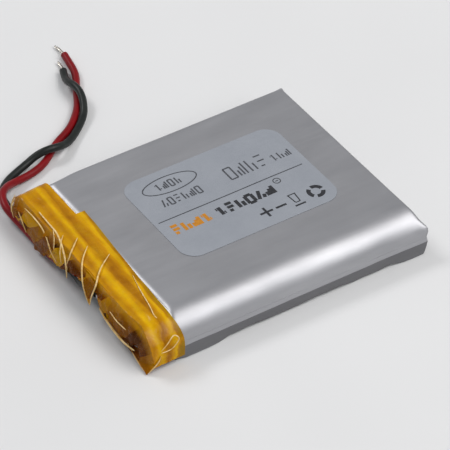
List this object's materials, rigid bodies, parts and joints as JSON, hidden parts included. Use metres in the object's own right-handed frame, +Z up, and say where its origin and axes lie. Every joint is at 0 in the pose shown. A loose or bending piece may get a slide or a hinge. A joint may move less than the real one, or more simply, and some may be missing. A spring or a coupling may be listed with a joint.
{
  "type": "pouch battery cell",
  "caption": "Flat rechargeable lithium polymer pouch cell in aluminium laminate, with a taped protection circuit at one end and two stripped leads.",
  "frame": {"origin": "middle of the taped cell's box, on the surface it lies on, leads left out", "axes": "+X along the cell from the taped terminal end to the folded far end, +Y across the cell to the side where the leads come out, +Z up from the flat face it rests on"},
  "size_m": [0.0533, 0.079, 0.0071],
  "materials": {
    "laminate": "satin aluminium laminate",
    "cathode": "black coated foil",
    "anode": "graphite coated foil",
    "separator": "porous white film",
    "roll_tape": "green adhesive tape",
    "tab_aluminium": "bright strip",
    "tab_nickel": "nickel strip",
    "tab_film": "translucent sealing film",
    "board": "solder mask on glass epoxy",
    "copper": "tinned copper lands",
    "nickel": "nickel plate",
    "chip": "moulded epoxy",
    "pins": "tinned pins",
    "resistor": "thick-film chip",
    "capacitor": "multilayer chip",
    "solder": "solder",
    "paper": "insulating paper",
    "polyimide": "amber translucent film",
    "label": "printed film label",
    "lead_red": "soft insulation",
    "lead_black": "soft insulation",
    "tinned_wire": "tinned strands"
  },
  "bodies": {
    "root": {"pouch_upper_shell": "laminate", "pouch_lower_shell": "laminate", "cathode_winding": "cathode", "separator_inner": "separator", "anode_winding": "anode", "separator_outer": "separator", "roll_closing_tape": "roll_tape", "positive_tab": "tab_aluminium", "negative_tab": "tab_nickel", "positive_tab_film": "tab_film", "negative_tab_film": "tab_film", "pcm_board": "board", "board_insulator": "paper", "pcm_pads": "copper", "positive_nickel_plate": "nickel", "negative_nickel_plate": "nickel", "protection_ic": "chip", "protection_ic_pins": "pins", "mosfet_pair": "chip", "mosfet_pair_pins": "pins", "chip_resistors": "resistor", "chip_capacitor": "capacitor", "red_solder_joint": "solder", "black_solder_joint": "solder", "inner_polyimide_tape": "polyimide", "outer_polyimide_tape": "polyimide", "label": "label", "red_lead": "lead_red", "black_lead": "lead_black", "red_lead_tip": "tinned_wire", "black_lead_tip": "tinned_wire"}
  },
  "joints": []
}
